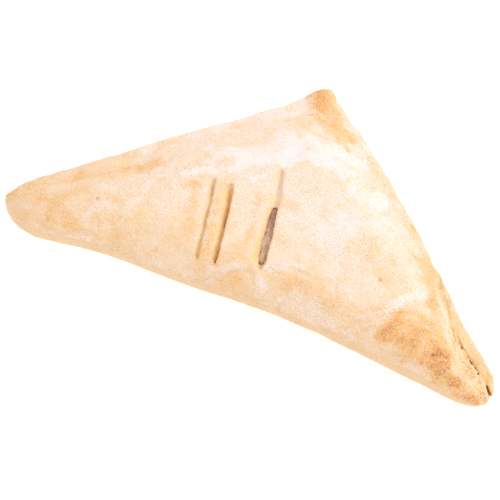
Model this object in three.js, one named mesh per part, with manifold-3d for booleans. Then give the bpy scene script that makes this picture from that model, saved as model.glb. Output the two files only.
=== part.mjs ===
// A turnover pastry: a square of puff pastry folded corner to corner over a fruit filling and baked.
// The fold lies along X at the front, the two cut legs meet at the apex at the back, +Z is up,
// and the pastry rests on its flat underside. All lengths are in millimetres.
import * as THREE from "three";
import { mergeVertices } from "three/addons/utils/BufferGeometryUtils.js";
import Module from "manifold-3d";

const wasm = await Module();
wasm.setup();

// Heights of the baked pastry
const CROWN = 19.2; // plateau over the filling
const RIM = 10.5; // both sheets together along the cut legs
const SEAM = 4.6; // where the lower sheet ends and the upper one begins
const WAIST = 8.5; // height at which the middle of the fold reaches furthest forward
const TIP_WAIST = 4.5; // the same at the two ends of the fold

// How fast the height builds up behind each side
const FOLD_ROUND = 15; // depth of the rolled front
const WAIST_RUN = 22; // distance from a leg over which the waist drops to its tip height
const LEFT_RUN = 27; // slope from the left leg up to the plateau
const RIGHT_RUN = 22; // the right leg climbs more steeply

// Plan of the three sides, each from corner to corner
const LEFT_TIP = [-84.9, -31.2];
const RIGHT_TIP = [84.9, -38.7];
const APEX = [0.6, 46.2];
const FOLD_SIDE = [
  LEFT_TIP, [-81.6, -37.2], [-72.6, -42], [-47.6, -39.9], [-17.6, -40.4], [12.4, -39.7], [40.4, -42.4],
  [62.4, -45.2], [76.4, -46.6], [83.2, -44.6], RIGHT_TIP,
];
const RIGHT_LEG = [
  RIGHT_TIP, [83.7, -33.9], [75.9, -25.7], [61.7, -11.5], [38.5, 11.4], [14.6, 34.7], [8.6, 40.6],
  [4.6, 44.4], APEX,
];
const LEFT_LEG = [
  APEX, [-4.1, 43.5], [-10.8, 36.2], [-26.4, 22.1], [-42.6, 8.3], [-64.6, -12.2], [-77.6, -23], LEFT_TIP,
];

// Local swells of the crust: x, y, radius, rise
const SWELLS = [
  [0.4, -14.2, 44, 2.2], // the whole middle domes a little
  [-1.1, 40.8, 5, 1.5], // knob at the apex
  [-53.6, -25.2, 16, 1.2],
  [34.4, -5.2, 18, 1.4],
  [1.4, -33.2, 9, 1.2],
  [-27.6, -3.2, 12, 0.8],
  [64.4, -33.2, 10, 1.4],
];

// Slits across the plateau, from left to right: rear end, front end, sideways bow, width of the throat,
// width of the lip that slopes down to it on the left, and depth where the slit closed up in the oven.
// On the right the crust stands as a sharp edge. A slit narrows towards its rear end over a share of its
// length, the taper. The last is open to the filling over the share from open[0] to open[1].
const SLITS = [
  { rear: [-19.2, -8.7], front: [-13.7, -36.8], bow: 0.5, throat: 0.9, lip: 1.4, depth: 2.3, taper: 0.2 },
  { rear: [-13.2, -8.7], front: [-7.9, -36.1], bow: 0.5, throat: 1.3, lip: 2.6, depth: 2.8, taper: 0.16 },
  {
    rear: [-0.7, 2.2], front: [6.1, -33.4], bow: 0.5, throat: 2.7, lip: 3, depth: 2, taper: 0.5,
    open: [0.38, 0.92],
  },
];
const SLIT_STATIONS = 16;
const SLIT_BLUNT = 0.05; // share of its length over which a slit narrows towards its front end
const SLIT_CLEAR = 2; // how far the cutter stands above the crust
const SLIT_LIP = 2.4; // depth of the sloping lip in the open part
const WELL_DROP = 2; // depth below the crust of the filling that wells up into the open slit
const WELL_HALF = 2.6; // half its width
const WELL_REACH = 0.1; // share of the slit that it runs on under the crust past each end of the opening
const WELL_SINK = 1; // how far it dips towards those ends

// The right tip, where the two sheets part. Distance up the right leg from the tip, with how far the lower
// sheet stands out past the upper one there, and how far the cut face of the upper sheet leans back.
const LEDGE = [[-6, 0], [0, 1.8], [4, 3.1], [9, 3.9], [19, 4.5], [26, 3.3], [32, 1.1], [37, 0]];
const LEAN = [
  [-6, 0], [0, 2], [4, 4], [9, 6.2], [14, 6], [19, 4.2], [26, 2.6], [32, 1.8], [46, 0.8], [56, 0],
];
const LOBE_RISE = 1; // the lower sheet's edge curls up a little where it stands out
// The gap between them in plan, from up the leg to beyond the tip, each with its width and its floor
const GAP = [
  [62.6, -15, 0.3, 4], [65.7, -22, 0.6, 3], [69.9, -27.8, 1, 2.4], [73.6, -31.1, 1.5, 2],
  [77.6, -34.6, 1.7, 1.8], [81, -37.2, 1.3, 1.6], [83, -38.9, 1, -1], [88, -43.2, 2.8, -1],
];
const GAP_TOP = 9;
// Distance down the right leg from the apex, with the lower sheet's reach past the upper one there
const PEEK = [[0, 0.2], [3, 0.4], [6.5, 2.6], [12, 2], [20, 0]];

// Filling in its hollow
const CORE_SCALE = 0.52; // plan size against the whole outline
const CORE_MIDDLE = [-0.8, -9.4];
const CORE_FLOOR = 5;
const CRUST = 5.5; // upper crust over the filling
const CORE_GAP = 0.3;

// Mesh density
const STEPS = 44; // divisions of each side
const CORE_STEPS = 14;
const RELAX_ROUNDS = 120;

const clamp01 = (t) => Math.min(1, Math.max(0, t));
const smooth = (t) => clamp01(t) ** 2 * (3 - 2 * clamp01(t));
const quarterRound = (t) => Math.sqrt(1 - (1 - clamp01(t)) ** 2);
const mix = (a, b, t) => a + (b - a) * t;

// Evenly spaced points along a side, without its last corner
function spaced(side, steps) {
  const knots = side.map(([x, y]) => new THREE.Vector3(x, y, 0));
  const curve = new THREE.CatmullRomCurve3(knots, false, "centripetal");
  return curve.getSpacedPoints(steps).slice(0, steps);
}

// The closed outline with steps points on each of its three sides
function outline(steps) {
  return [FOLD_SIDE, RIGHT_LEG, LEFT_LEG].flatMap((side) => spaced(side, steps));
}

const EDGE = outline(STEPS);
const sideOf = (k) => [...Array(STEPS + 1).keys()].map((i) => EDGE[(k * STEPS + i) % EDGE.length]);
const [FOLD_LINE, RIGHT_LINE, LEFT_LINE] = [0, 1, 2].map(sideOf);

// Shortest distance in plan from a point to a line of points
function distanceTo(line, x, y) {
  let best = Infinity;
  for (let i = 0; i + 1 < line.length; i++) {
    const [dx, dy] = [line[i + 1].x - line[i].x, line[i + 1].y - line[i].y];
    const along = clamp01(((x - line[i].x) * dx + (y - line[i].y) * dy) / (dx * dx + dy * dy));
    best = Math.min(best, Math.hypot(x - line[i].x - along * dx, y - line[i].y - along * dy));
  }
  return best;
}

// Height of the crust above the table, and of the waist of the fold below it
function heights(x, y) {
  const [left, right, fold] = [LEFT_LINE, RIGHT_LINE, FOLD_LINE].map((line) => distanceTo(line, x, y));
  const plateau = smooth(left / LEFT_RUN) * smooth(right / RIGHT_RUN);
  const swell = SWELLS.reduce(
    (sum, [cx, cy, radius, rise]) => sum + rise * Math.exp(-((x - cx) ** 2 + (y - cy) ** 2) / radius ** 2),
    0,
  );
  const bulk = mix(RIM, CROWN, plateau) + swell;
  const waist = mix(TIP_WAIST, WAIST, smooth(Math.min(left, right) / WAIST_RUN));
  return { top: mix(waist, bulk, quarterRound(fold / FOLD_ROUND)), waist, bulk };
}

// A triangular sheet of vertices inside a closed ring of 3 * steps points: the sides' bulges carry inwards
function spread(ring, steps) {
  const corner = (k) => ring[(k * steps) % ring.length];
  const bulge = (k, t) => {
    const at = clamp01(t) * steps;
    const i = Math.min(steps - 1, Math.floor(at));
    const on = ring[k * steps + i].clone().lerp(ring[(k * steps + i + 1) % ring.length], at - i);
    return on.sub(corner(k).clone().lerp(corner(k + 1), clamp01(t)));
  };
  const points = [];
  for (let row = 0; row <= steps; row++) {
    for (let col = 0; col <= steps - row; col++) {
      const [w, v] = [row / steps, col / steps];
      const u = 1 - v - w;
      const p = corner(0).clone().multiplyScalar(u);
      p.addScaledVector(corner(1), v).addScaledVector(corner(2), w);
      if (w < 1) p.addScaledVector(bulge(0, v / (u + v)), (1 - w) ** 2);
      if (u < 1) p.addScaledVector(bulge(1, w / (v + w)), (1 - u) ** 2);
      if (v < 1) p.addScaledVector(bulge(2, u / (w + u)), (1 - v) ** 2);
      points.push(p);
    }
  }
  return relaxed(points, steps);
}

// Evens out a sheet: every inner vertex moves to the middle of its neighbours, round after round
function relaxed(points, steps) {
  for (let round = 0; round < RELAX_ROUNDS; round++)
    for (let row = 1; row < steps; row++)
      for (let col = 1; col < steps - row; col++) {
        const around = [[0, 1], [1, 0], [1, -1], [0, -1], [-1, 0], [-1, 1]];
        const middle = new THREE.Vector3();
        for (const [dr, dc] of around) middle.add(points[at(steps, row + dr, col + dc)]);
        points[at(steps, row, col)].copy(middle.divideScalar(around.length));
      }
  return points;
}

// Index of a sheet's vertex, and of the sheet's boundary in the order of the ring
const at = (steps, row, col) => row * (steps + 1) - (row * (row - 1)) / 2 + col;
function boundary(steps) {
  const walk = [...Array(steps).keys()];
  return [
    ...walk.map((i) => at(steps, 0, i)),
    ...walk.map((i) => at(steps, i, steps - i)),
    ...walk.map((i) => at(steps, steps - i, 0)),
  ];
}

// A closed body from a bottom ring, wall rings above it and a top ring; lift sets each sheet point's height
function body(rings, steps, liftBottom, liftTop) {
  const vertices = [];
  const faces = [];
  const addSheet = (ring, lift, up) => {
    const start = vertices.length;
    for (const p of spread(ring, steps)) vertices.push(new THREE.Vector3(p.x, p.y, lift(p)));
    const add = (a, b, c) => faces.push((up ? [a, b, c] : [a, c, b]).map((v) => v + start));
    for (let row = 0; row < steps; row++)
      for (let col = 0; col < steps - row; col++) {
        const [a, b, c] = [at(steps, row, col), at(steps, row, col + 1), at(steps, row + 1, col)];
        add(a, b, c);
        if (col < steps - row - 1) add(b, at(steps, row + 1, col + 1), c);
      }
    const loop = boundary(steps).map((i) => i + start);
    loop.forEach((index, i) => vertices[index].copy(ring[i]));
    return loop;
  };
  let lower = addSheet(rings[0], liftBottom, false);
  const top = addSheet(rings.at(-1), liftTop, true);
  for (const ring of [...rings.slice(1, -1), null]) {
    const upper = ring ? ring.map((p) => vertices.push(p.clone()) - 1) : top;
    lower.forEach((a, i) => {
      const j = (i + 1) % lower.length;
      faces.push([a, lower[j], upper[j]], [a, upper[j], upper[i]]);
    });
    lower = upper;
  }
  return solid(vertices, faces);
}

// A closed body lofted through rings of equally many points
function loft(rings) {
  const n = rings[0].length;
  const faces = [];
  rings.slice(1).forEach((ring, k) =>
    ring.forEach((p, i) => {
      const [a, b] = [k * n + i, k * n + ((i + 1) % n)];
      faces.push([a, b + n, b], [a, a + n, b + n]);
    }),
  );
  const last = (rings.length - 1) * n;
  for (let i = 1; i + 1 < n; i++) faces.push([0, i, i + 1], [last, last + i + 1, last + i]);
  return solid(rings.flat(), faces);
}

function solid(vertices, faces) {
  return new wasm.Manifold(
    new wasm.Mesh({
      numProp: 3,
      vertProperties: new Float32Array(vertices.flatMap((v) => v.toArray())),
      triVerts: new Uint32Array(faces.flat()),
    }),
  );
}

// Walls of the pastry from the table up: inset from the outline and height, for a cut leg and for the fold
const CUT_WALL = [
  [1.4, 0],
  [0.3, 0.8],
  [0, 2.6],
  [0.2, SEAM - 0.5],
  [1.3, SEAM],
  [0.5, SEAM + 0.5],
  [0.6, SEAM + 2.4],
  [1.1, RIM - 1.2],
  [2.4, RIM],
];
const FOLD_WALL = [
  [5, 0],
  [2.6, 0.14],
  [0.8, 0.45],
  [0, 1],
  [0.12, 1],
  [0.5, 1],
  [1.2, 1],
  [2.2, 1],
  [3.6, 1],
]; // heights are shares of the waist; above it the crust's own curve takes over

// How much the lower sheet's own rings draw back and rise where it stands out past the upper one
const LOBE_SHARE = [0, 0, 0.06, 0.4, 0.78, 0, 0, 0, 0];
const LEDGE_MOST = Math.max(...LEDGE.map(([, reach]) => reach));

// The value of a graph of [x, y] knots at a given x
function graph(knots, x) {
  const next = knots.findIndex(([at]) => at > x);
  if (next < 1) return next === 0 ? knots[0][1] : knots.at(-1)[1];
  const [[x0, y0], [x1, y1]] = [knots[next - 1], knots[next]];
  return mix(y0, y1, (x - x0) / (x1 - x0));
}

function pastryRings() {
  const count = EDGE.length;
  const arc = [0];
  for (let i = 1; i <= count; i++) arc.push(arc[i - 1] + EDGE[i % count].distanceTo(EDGE[i - 1]));
  const outward = EDGE.map((p, i) => {
    const t = EDGE[(i + 1) % count].clone().sub(EDGE[(i + count - 1) % count]);
    return new THREE.Vector3(t.y, -t.x, 0).normalize();
  });
  const tipAt = arc[STEPS];
  const foldness = EDGE.map((_, i) => {
    if (i <= STEPS) return smooth((tipAt - arc[i]) / 8);
    return smooth(1 - (arc[count] - arc[i]) / 8);
  });
  const peek = EDGE.map((_, i) => (i > 2 * STEPS ? 0 : graph(PEEK, arc[2 * STEPS] - arc[i])));
  return CUT_WALL.map(([cutInset, cutHeight], k) => {
    const [foldInset, share] = FOLD_WALL[k];
    return EDGE.map((p, i) => {
      const ledge = graph(LEDGE, arc[i] - tipAt);
      const lean = graph(LEAN, arc[i] - tipAt) * clamp01((cutHeight - SEAM) / (RIM - SEAM));
      const back = cutHeight > SEAM ? ledge + lean + peek[i] : ledge * LOBE_SHARE[k];
      const inset = mix(cutInset + back, foldInset, foldness[i]);
      const q = p.clone().addScaledVector(outward[i], -inset);
      const { top, waist } = heights(q.x, q.y);
      const onFold = share < 1 ? share * waist : mix(waist, top, k === 3 ? 0 : 1);
      const curl = (LOBE_RISE * LOBE_SHARE[k] * ledge) / LEDGE_MOST;
      q.z = k === CUT_WALL.length - 1 ? top : mix(cutHeight + curl, onFold, foldness[i]);
      return q;
    });
  });
}

// Plan of the filling's hollow, and its closed body shrunk on all sides by a gap
function core(gap) {
  const middle = new THREE.Vector3(...CORE_MIDDLE, 0);
  const ring = outline(CORE_STEPS).map((p) => {
    const q = p.clone().multiplyScalar(CORE_SCALE).add(middle);
    return q.addScaledVector(q.clone().sub(middle).normalize(), -gap);
  });
  const roof = (p, drop) => heights(p.x, p.y).top - CRUST - drop;
  const floor = CORE_FLOOR + gap;
  const level = (inset, share) =>
    ring.map((p) => {
      const q = p.clone().lerp(middle, inset);
      q.z = mix(floor, roof(q, gap), share);
      return q;
    });
  const levels = [level(0.12, 0), level(0, 0.3), level(0.02, 0.62), level(0.14, 0.9)];
  return body(levels, CORE_STEPS, () => floor, (p) => roof(p, gap));
}

// Stations along a slit: its middle, crust height and how far its walls stand apart there
function slitStations({ rear, front, bow }, first = 0, last = 1) {
  const start = new THREE.Vector3(...rear, 0);
  const run = new THREE.Vector3(...front, 0).sub(start);
  const across = new THREE.Vector3(-run.y, run.x, 0).normalize();
  return [...Array(SLIT_STATIONS + 1).keys()].map((i) => {
    const s = mix(first, last, i / SLIT_STATIONS);
    const middle = start.clone().addScaledVector(run, s).addScaledVector(across, bow * Math.sin(Math.PI * s));
    const crust = heights(middle.x, middle.y).top;
    const corner = (offset, z) => middle.clone().addScaledVector(across, offset).setZ(z);
    return { s, middle, crust, corner };
  });
}

// One slit's cutter: a groove with its left wall laid back, dropping into the hollow where the slit is open
function slitCutter(slit) {
  return loft(
    slitStations(slit).map(({ s, crust, corner }) => {
      const wide = Math.max(0.12, quarterRound(s / slit.taper) * quarterRound((1 - s) / SLIT_BLUNT));
      const half = (slit.throat / 2) * wide;
      const [from, to] = slit.open ?? [2, 2];
      const open = smooth((s - from) / 0.07) * smooth((to - s) / 0.05);
      const lip = mix(slit.depth * 0.7, SLIT_LIP, open);
      const laidBack = half + slit.lip * wide * (1 + SLIT_CLEAR / lip);
      const floor = mix(crust - slit.depth, CORE_FLOOR + 4, open);
      return [
        corner(half * 1.1, crust + SLIT_CLEAR),
        corner(half, crust - lip),
        corner(half * mix(0.5, 1, open), floor),
        corner(-half * mix(0.5, 1, open), floor),
        corner(-half, crust - lip),
        corner(-laidBack, crust + SLIT_CLEAR),
      ];
    }),
  );
}

// Filling welled up into an open slit, shrunk on all sides by a gap
function well(slit, gap) {
  const [from, to] = slit.open;
  return loft(
    slitStations(slit, from - WELL_REACH, to + WELL_REACH).map(({ crust, corner }, i) => {
      const fullness = Math.sin((Math.PI * i) / SLIT_STATIONS) ** 0.6;
      const half = WELL_HALF * mix(0.3, 1, fullness) - gap;
      const top = crust - WELL_DROP - WELL_SINK * (1 - fullness) - gap;
      const foot = crust - CRUST - 2;
      return [
        corner(half, top - 1),
        corner(half, foot),
        corner(-half, foot),
        corner(-half, top - 1),
        corner(-half * 0.5, top),
        corner(half * 0.5, top),
      ];
    }),
  );
}

// The gap between the two sheets at the right tip, cut from above
function gapCutter() {
  return loft(
    GAP.map(([x, y, width, floor], i) => {
      const [before, after] = [GAP[Math.max(0, i - 1)], GAP[Math.min(GAP.length - 1, i + 1)]];
      const run = new THREE.Vector3(after[0] - before[0], after[1] - before[1], 0).normalize();
      const corner = (offset, z) => new THREE.Vector3(x - run.y * offset, y + run.x * offset, z);
      const narrow = floor < 0 ? 0.5 : 0.3;
      return [
        corner(width / 2, GAP_TOP),
        corner(width * narrow, floor),
        corner(-width * narrow, floor),
        corner(-width / 2, GAP_TOP),
      ];
    }),
  );
}

function meshOf(name, made, colour, roughness) {
  const { vertProperties, triVerts, numProp } = made.getMesh();
  const position = new Float32Array((vertProperties.length / numProp) * 3);
  for (let i = 0; i * 3 < position.length; i++)
    position.set(vertProperties.subarray(i * numProp, i * numProp + 3), i * 3);
  const geometry = new THREE.BufferGeometry();
  geometry.setAttribute("position", new THREE.BufferAttribute(position, 3));
  geometry.setIndex(new THREE.BufferAttribute(triVerts, 1));
  const merged = mergeVertices(geometry);
  merged.computeVertexNormals();
  const material = new THREE.MeshStandardMaterial({ color: colour, roughness, metalness: 0 });
  const mesh = new THREE.Mesh(merged, material);
  mesh.name = name;
  return mesh;
}

const wells = (gap) => SLITS.filter((slit) => slit.open).map((slit) => well(slit, gap));
const hollow = wells(0).reduce((room, next) => room.add(next), core(0));
const fruit = wells(CORE_GAP).reduce((mass, next) => mass.add(next), core(CORE_GAP));
let pastry = body(pastryRings(), STEPS, () => 0, (p) => heights(p.x, p.y).top).subtract(hollow);
for (const slit of SLITS) pastry = pastry.subtract(slitCutter(slit));
pastry = pastry.subtract(gapCutter());

const turnover = new THREE.Group();
turnover.add(meshOf("pastry", pastry, 0xf2d3a6, 0.85));
turnover.add(meshOf("filling", fruit, 0x5a2a26, 0.5));

export default turnover;
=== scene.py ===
# The looks of a baked fruit turnover: puff pastry folded corner to corner, slit across the top,
# dusted with flour and sugar. Lengths are millimetres until a mesh is written, unless said otherwise.
import math

import bmesh
import bpy
import numpy as np
from mathutils import Matrix, Vector
from mathutils.bvhtree import BVHTree


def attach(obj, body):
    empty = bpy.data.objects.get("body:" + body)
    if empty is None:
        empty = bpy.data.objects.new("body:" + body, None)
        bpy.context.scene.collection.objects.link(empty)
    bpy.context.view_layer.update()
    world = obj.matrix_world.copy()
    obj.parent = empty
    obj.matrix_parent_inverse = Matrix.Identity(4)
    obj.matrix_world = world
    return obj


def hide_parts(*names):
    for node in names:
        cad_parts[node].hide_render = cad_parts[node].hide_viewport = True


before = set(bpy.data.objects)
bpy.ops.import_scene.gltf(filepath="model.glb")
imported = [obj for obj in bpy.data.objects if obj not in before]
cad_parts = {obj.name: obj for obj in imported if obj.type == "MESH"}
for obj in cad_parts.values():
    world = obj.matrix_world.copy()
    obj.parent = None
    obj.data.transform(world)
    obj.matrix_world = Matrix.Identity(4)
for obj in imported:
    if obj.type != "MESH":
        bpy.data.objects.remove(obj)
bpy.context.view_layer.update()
MM = 0.001
FULL_TURN = 6.28

# The three sides in plan, from corner to corner
LEFT_TIP = (-84.9, -31.2)
RIGHT_TIP = (84.9, -38.7)
APEX = (0.6, 46.2)
FOLD_SIDE = [
    LEFT_TIP, (-81.6, -37.2), (-72.6, -42), (-47.6, -39.9), (-17.6, -40.4), (12.4, -39.7),
    (40.4, -42.4), (62.4, -45.2), (76.4, -46.6), (83.2, -44.6), RIGHT_TIP,
]
RIGHT_LEG = [
    RIGHT_TIP, (83.7, -33.9), (75.9, -25.7), (61.7, -11.5), (38.5, 11.4), (14.6, 34.7), (8.6, 40.6),
    (4.6, 44.4), APEX,
]
LEFT_LEG = [
    APEX, (-4.1, 43.5), (-10.8, 36.2), (-26.4, 22.1), (-42.6, 8.3), (-64.6, -12.2), (-77.6, -23),
    LEFT_TIP,
]
SEAM = 4.6  # where the lower sheet of dough ends
# At the right tip the upper sheet's cut face lies between its ridge and the gap above the lower sheet
RIDGE = [
    (52.4, -10.3), (56.6, -14), (59.5, -18.9), (63.4, -23.7), (66.8, -31.1), (69, -35.5), (72, -38.7),
    (76, -41.8), (79, -43.6), (81.4, -44.8),
]
GAP = [(62.6, -15), (65.7, -22), (69.9, -27.8), (73.6, -31.1), (77.6, -34.6), (81, -37.2), (83.6, -39.4)]
# The slits from left to right: rear end and front end. The third is open to the filling.
SLITS = [((-19.2, -8.7), (-13.7, -36.8)), ((-13.2, -8.7), (-7.9, -36.1)), ((-0.7, 2.2), (6.1, -33.4))]


# ---------------------------------------------------------------- camera, light and floor

AIM = Vector((-1.6, -23.2, 10)) * MM
DISTANCE = 0.48  # of the camera, in metres
LENS, SENSOR = 109.2, 36
AZIMUTH, ELEVATION = math.radians(22), math.radians(60)
RIGHTWARD = Vector((math.cos(AZIMUTH), math.sin(AZIMUTH), 0))
TOWARDS = Vector((
    math.sin(AZIMUTH) * math.cos(ELEVATION),
    -math.cos(AZIMUTH) * math.cos(ELEVATION),
    math.sin(ELEVATION),
))
UPWARD = TOWARDS.cross(RIGHTWARD)
SKY = 0.78  # brightness of the white room
# Lamps: direction in camera terms (right, up, towards), distance and width in metres, power
LAMPS = {"key": ((0.72, 0.62, 0.6), 0.9, 0.42, 3.3), "fill": ((-0.6, -0.35, 0.8), 1.1, 0.8, 1.4)}
FLOOR_HALF = 1.6  # half the floor, in metres
FLOOR_GREY, FLOOR_GLOW = 0.45, 0.73


def facing(spot, right, up, back):
    """A matrix that puts a camera or lamp at spot, looking along -back."""
    turned = Matrix((right, up, back)).transposed().to_4x4()
    return Matrix.Translation(spot) @ turned


def placed(name, data):
    """A new object in the scene."""
    made = bpy.data.objects.new(name, data)
    bpy.context.scene.collection.objects.link(made)
    return made


def add_camera():
    lens = bpy.data.cameras.new("camera")
    lens.lens = LENS
    lens.sensor_width = SENSOR
    lens.clip_start = 0.01
    camera = placed("camera", lens)
    camera.matrix_world = facing(AIM + TOWARDS * DISTANCE, RIGHTWARD, UPWARD, TOWARDS)
    bpy.context.scene.camera = camera


def add_lamp(name, direction, distance, size, power):
    """A square soft white lamp that faces the pastry."""
    right, up, towards = direction
    back = (RIGHTWARD * right + UPWARD * up + TOWARDS * towards).normalized()
    side = Vector((0, 0, 1)).cross(back).normalized()
    lamp = bpy.data.lights.new(name, "AREA")
    lamp.shape = "SQUARE"
    lamp.size = size
    lamp.energy = power
    holder = placed(name, lamp)
    holder.matrix_world = facing(AIM + back * distance, side, back.cross(side), back)


def add_studio():
    scene = bpy.context.scene
    scene.view_settings.view_transform = "Standard"
    scene.view_settings.look = "None"
    world = bpy.data.worlds.new("studio")
    scene.world = world
    world.use_nodes = True
    world.node_tree.nodes["Background"].inputs["Color"].default_value = (1, 1, 1, 1)
    world.node_tree.nodes["Background"].inputs["Strength"].default_value = SKY
    for name, placing in LAMPS.items():
        add_lamp(name, *placing)
    mesh = bpy.data.meshes.new("floor")
    corners = [(FLOOR_HALF * x, FLOOR_HALF * y, 0) for x, y in ((-1, -1), (1, -1), (1, 1), (-1, 1))]
    mesh.from_pydata(corners, [], [(0, 1, 2, 3)])
    floor = placed("floor", mesh)
    paper = bpy.data.materials.new("white_paper")
    paper.use_nodes = True
    shader = paper.node_tree.nodes["Principled BSDF"]
    shader.inputs["Base Color"].default_value = (FLOOR_GREY, FLOOR_GREY, FLOOR_GREY, 1)
    shader.inputs["Roughness"].default_value = 0.9
    shader.inputs["Emission Color"].default_value = (1, 1, 1, 1)
    shader.inputs["Emission Strength"].default_value = FLOOR_GLOW
    mesh.materials.append(paper)


# ---------------------------------------------------------------- small tools for shaping

def smooth(t):
    t = np.clip(t, 0, 1)
    return t * t * (3 - 2 * t)


LATTICE = 64
CHANCE = np.random.default_rng(5).uniform(-1, 1, LATTICE**3).astype(np.float32)
SEED_SHIFT, ROUND_SHIFT = 7.3, 19.1  # keep seeds and rounds apart in the lattice
PAST_ZERO = 500  # moves every place above zero
LUMP_GAIN = 1.6
CURVE_STEPS = 40  # points between two knots before they are spaced evenly


def lumps(points, size, seed, rounds=1):
    """Soft random lumps of a size in millimetres, about -1 to 1, with finer ones in further rounds."""
    total, share, whole = np.zeros(len(points), np.float32), 1.0, 0.0
    for turn in range(rounds):
        q = points / (size / 2**turn) + SEED_SHIFT * seed + ROUND_SHIFT * turn + PAST_ZERO
        q = q.astype(np.float32)
        cell = np.floor(q).astype(np.int32)
        t = q - cell
        t = t * t * t * (t * (t * 6 - 15) + 10)
        near = cell % LATTICE
        far = (near + 1) % LATTICE
        for corner in np.ndindex(2, 2, 2):
            i, j, k = (np.where(c, far[:, n], near[:, n]) for n, c in enumerate(corner))
            weight = np.ones(len(points), np.float32)
            for n, c in enumerate(corner):
                weight *= t[:, n] if c else 1 - t[:, n]
            total += share * weight * CHANCE[(i * LATTICE + j) * LATTICE + k]
        whole += share
        share *= 0.5
    return total / whole * LUMP_GAIN


def path_points(knots, step=1.0):
    """Evenly spaced points, in plan, on a smooth curve through the knots."""
    knots = np.array(knots, float)
    ends = np.vstack([2 * knots[0] - knots[1], knots, 2 * knots[-1] - knots[-2]])
    gaps = np.sqrt(np.linalg.norm(np.diff(ends, axis=0), axis=1))
    times = np.concatenate([[0], np.cumsum(gaps)])
    out = []
    for n in range(1, len(ends) - 2):
        p0, p1, p2, p3 = ends[n - 1 : n + 3]
        t0, t1, t2, t3 = times[n - 1 : n + 3]
        t = np.linspace(t1, t2, CURVE_STEPS, endpoint=False)[:, None]
        a1 = (t1 - t) / (t1 - t0) * p0 + (t - t0) / (t1 - t0) * p1
        a2 = (t2 - t) / (t2 - t1) * p1 + (t - t1) / (t2 - t1) * p2
        a3 = (t3 - t) / (t3 - t2) * p2 + (t - t2) / (t3 - t2) * p3
        b1 = (t2 - t) / (t2 - t0) * a1 + (t - t0) / (t2 - t0) * a2
        b2 = (t3 - t) / (t3 - t1) * a2 + (t - t1) / (t3 - t1) * a3
        out.append((t2 - t) / (t2 - t1) * b1 + (t - t1) / (t2 - t1) * b2)
    dense = np.vstack(out + [knots[-1:]])
    run = np.concatenate([[0], np.cumsum(np.linalg.norm(np.diff(dense, axis=0), axis=1))])
    stops = np.linspace(0, run[-1], max(2, int(run[-1] / step)) + 1)
    return np.stack([np.interp(stops, run, dense[:, n]) for n in range(2)], axis=1)


def off_line(line, xy):
    """For each point: distance in plan to a line, share of the way along it, and side, + on its left."""
    best = np.full(len(xy), 1e9)
    along = np.zeros(len(xy))
    side = np.zeros(len(xy))
    for n in range(len(line) - 1):
        a, run = line[n], line[n + 1] - line[n]
        rel = xy - a
        t = np.clip(rel @ run / (run @ run), 0, 1)
        gap = rel - t[:, None] * run
        d = np.hypot(gap[:, 0], gap[:, 1])
        near = d < best
        best[near] = d[near]
        along[near] = (n + t[near]) / (len(line) - 1)
        side[near] = np.sign(run[0] * rel[near, 1] - run[1] * rel[near, 0])
    return best, along, side


def blob(xy, x, y, radius):
    """A soft round spot, 1 in its middle."""
    return np.exp(-((xy[:, 0] - x) ** 2 + (xy[:, 1] - y) ** 2) / radius**2)


LEFT_LINE = path_points(LEFT_LEG)
RIGHT_LINE = path_points(RIGHT_LEG)
FOLD_LINE = path_points(FOLD_SIDE)
RIDGE_LINE = path_points(RIDGE)
GAP_LINE = path_points(GAP)


# ---------------------------------------------------------------- materials

def linear(red, green, blue):
    """An ordinary screen colour, 0 to 255, as the shader's linear colour."""
    parts = [c / 255 for c in (red, green, blue)]
    return tuple(c / 12.92 if c < 0.04045 else ((c + 0.055) / 1.055) ** 2.4 for c in parts) + (1,)


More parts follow.
